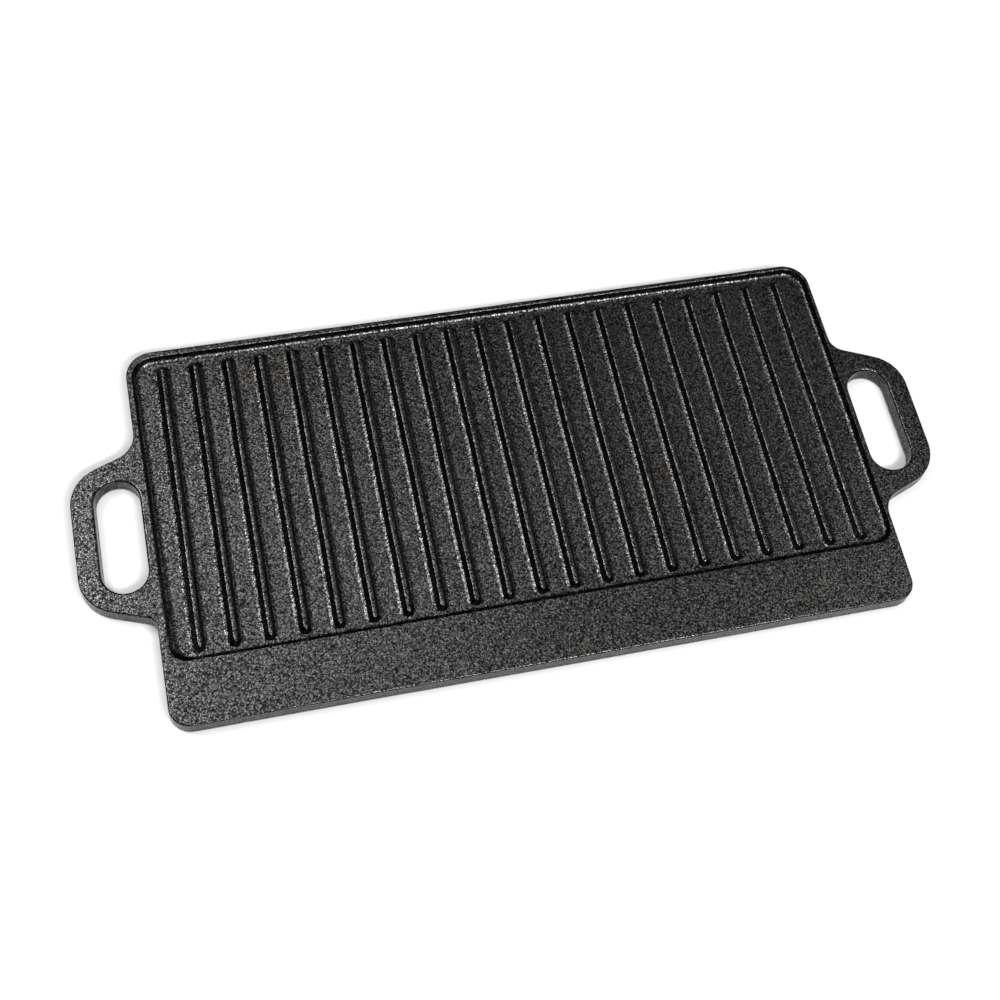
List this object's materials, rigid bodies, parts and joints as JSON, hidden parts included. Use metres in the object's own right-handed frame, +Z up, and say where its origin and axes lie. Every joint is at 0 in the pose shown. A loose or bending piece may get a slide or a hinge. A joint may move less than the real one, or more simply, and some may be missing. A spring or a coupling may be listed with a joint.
{
  "type": "ribbed griddle plate",
  "caption": "Reversible cast-iron griddle plate, ribbed side up, with a rimmed well, a wide flat apron along the front and a loop handle at each end.",
  "frame": {"origin": "centre of the plate's footprint, on the surface that it stands on", "axes": "+X along the length, through both handles; +Y from the apron at the front to the back rim; +Z up, out of the ribbed side"},
  "size_m": [0.501, 0.2304, 0.0115],
  "materials": {
    "seasoned_iron": "satin black seasoning over a pebbled as-cast surface"
  },
  "bodies": {
    "root": {"griddle_casting": "seasoned_iron"}
  },
  "joints": []
}
